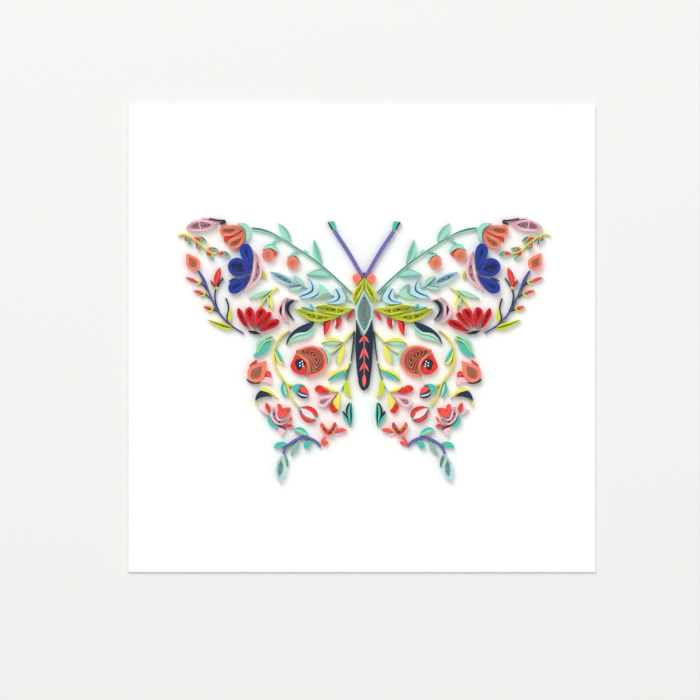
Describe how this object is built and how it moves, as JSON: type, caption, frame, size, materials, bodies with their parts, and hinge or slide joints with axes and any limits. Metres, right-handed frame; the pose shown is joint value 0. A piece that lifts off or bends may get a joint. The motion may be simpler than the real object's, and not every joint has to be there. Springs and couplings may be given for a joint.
{
  "type": "quilled paper butterfly card",
  "caption": "Butterfly of quilled paper flowers, leaves and coils standing on the face of a square folded card that lies flat.",
  "frame": {"origin": "under the middle of the square card, on the surface that it lies on", "axes": "+Z out of the card's face, +Y towards the butterfly's head, +X to its right wing as seen from above"},
  "size_m": [0.1524, 0.1524, 0.0041],
  "materials": {
    "card_stock": "matte",
    "coral_paper": "matte",
    "red_paper": "matte",
    "pink_paper": "matte",
    "navy_paper": "matte",
    "indigo_paper": "matte",
    "blue_paper": "matte",
    "mint_paper": "matte",
    "teal_paper": "matte",
    "sky_paper": "matte",
    "lime_paper": "matte",
    "aqua_paper": "matte"
  },
  "bodies": {
    "root": {"abdomen": "navy_paper", "abdomen_sprig": "coral_paper", "card": "card_stock", "head_spot": "red_paper", "left_antenna": "indigo_paper", "left_berries": "coral_paper", "left_blue_flower": "blue_paper", "left_bud_branch": "indigo_paper", "left_coral_drops": "coral_paper", "left_eye": "coral_paper", "left_fore_sprig": "lime_paper", "left_hind_leaves": "teal_paper", "left_hind_sprig": "lime_paper", "left_hind_vine": "lime_paper", "left_lime_blades": "lime_paper", "left_lotus": "pink_paper", "left_orchid": "coral_paper", "left_pomegranate": "coral_paper", "left_poppy": "red_paper", "left_red_buds": "red_paper", "left_red_teeth": "red_paper", "left_rose": "coral_paper", "left_sepals": "pink_paper", "left_shoulder": "lime_paper", "left_sky_buds": "sky_paper", "left_tail_spray": "teal_paper", "left_tip_bud": "pink_paper", "left_tip_sprig": "mint_paper", "left_trumpet": "pink_paper", "left_tulip": "red_paper", "left_vine": "mint_paper", "right_antenna": "indigo_paper", "right_berries": "coral_paper", "right_blue_flower": "blue_paper", "right_bud_branch": "indigo_paper", "right_coral_drops": "coral_paper", "right_eye": "coral_paper", "right_fore_sprig": "lime_paper", "right_hind_leaves": "teal_paper", "right_hind_sprig": "lime_paper", "right_hind_vine": "lime_paper", "right_lime_blades": "lime_paper", "right_lotus": "pink_paper", "right_orchid": "coral_paper", "right_pomegranate": "coral_paper", "right_poppy": "red_paper", "right_red_buds": "red_paper", "right_red_teeth": "red_paper", "right_rose": "coral_paper", "right_sepals": "pink_paper", "right_shoulder": "lime_paper", "right_sky_buds": "sky_paper", "right_tail_spray": "teal_paper", "right_tip_bud": "pink_paper", "right_tip_sprig": "mint_paper", "right_trumpet": "pink_paper", "right_tulip": "red_paper", "right_vine": "mint_paper", "thorax": "aqua_paper"}
  },
  "joints": []
}
